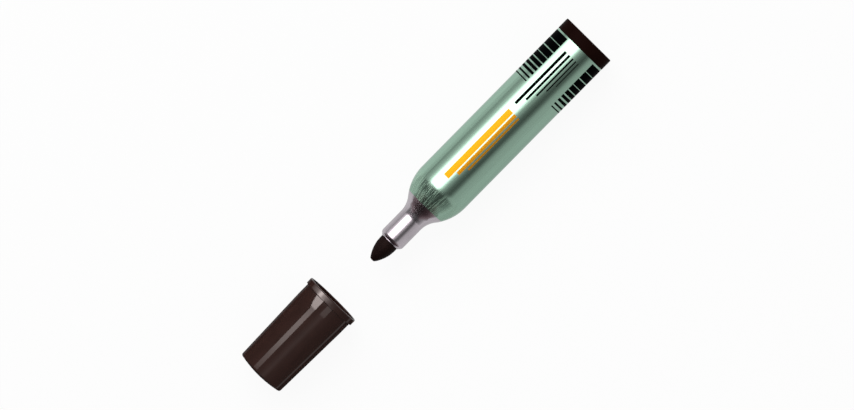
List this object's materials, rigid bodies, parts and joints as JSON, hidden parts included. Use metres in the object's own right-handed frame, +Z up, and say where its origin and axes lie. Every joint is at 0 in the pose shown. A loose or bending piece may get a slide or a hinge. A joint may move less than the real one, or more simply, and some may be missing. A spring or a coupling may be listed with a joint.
{
  "type": "permanent marker",
  "caption": "Round metal-barrelled permanent marker with a shoulder, a narrow neck, a bullet nib and a tapered pull-off cap with an inner seal.",
  "frame": {"origin": "on the table, under the middle of the marker and its cap together", "axes": "+X along the marker from its back end towards the cap, +Z up from the table"},
  "size_m": [0.1406, 0.0182, 0.0183],
  "materials": {
    "barrel_metal": "satin grey-green lacquer over drawn aluminium, bare metal at the neck",
    "plug_plastic": "dark brown moulded plastic, soft gloss",
    "inked_fibre": "bundled polyester fibre, soaked with dark ink",
    "film_plastic": "thin milky film",
    "tube_plastic": "natural extruded plastic",
    "holder_plastic": "natural moulded plastic",
    "nib_felt": "pressed fibre, soaked with dark ink",
    "cap_plastic": "dark brown moulded plastic, polished",
    "seal_plastic": "soft natural plastic"
  },
  "bodies": {
    "marker": {"barrel": "barrel_metal", "end_plug": "plug_plastic", "ink_fibre": "inked_fibre", "fibre_film": "film_plastic", "air_tube": "tube_plastic", "nib_holder": "holder_plastic", "nib": "nib_felt"},
    "cap": {"cap_shell": "cap_plastic", "cap_inner_seal": "seal_plastic"}
  },
  "joints": [
    {"name": "cap_slide", "type": "slide", "parent": "marker", "child": "cap", "axis": [-1, 0, 0], "range_m": [0, 0.04259]}
  ]
}
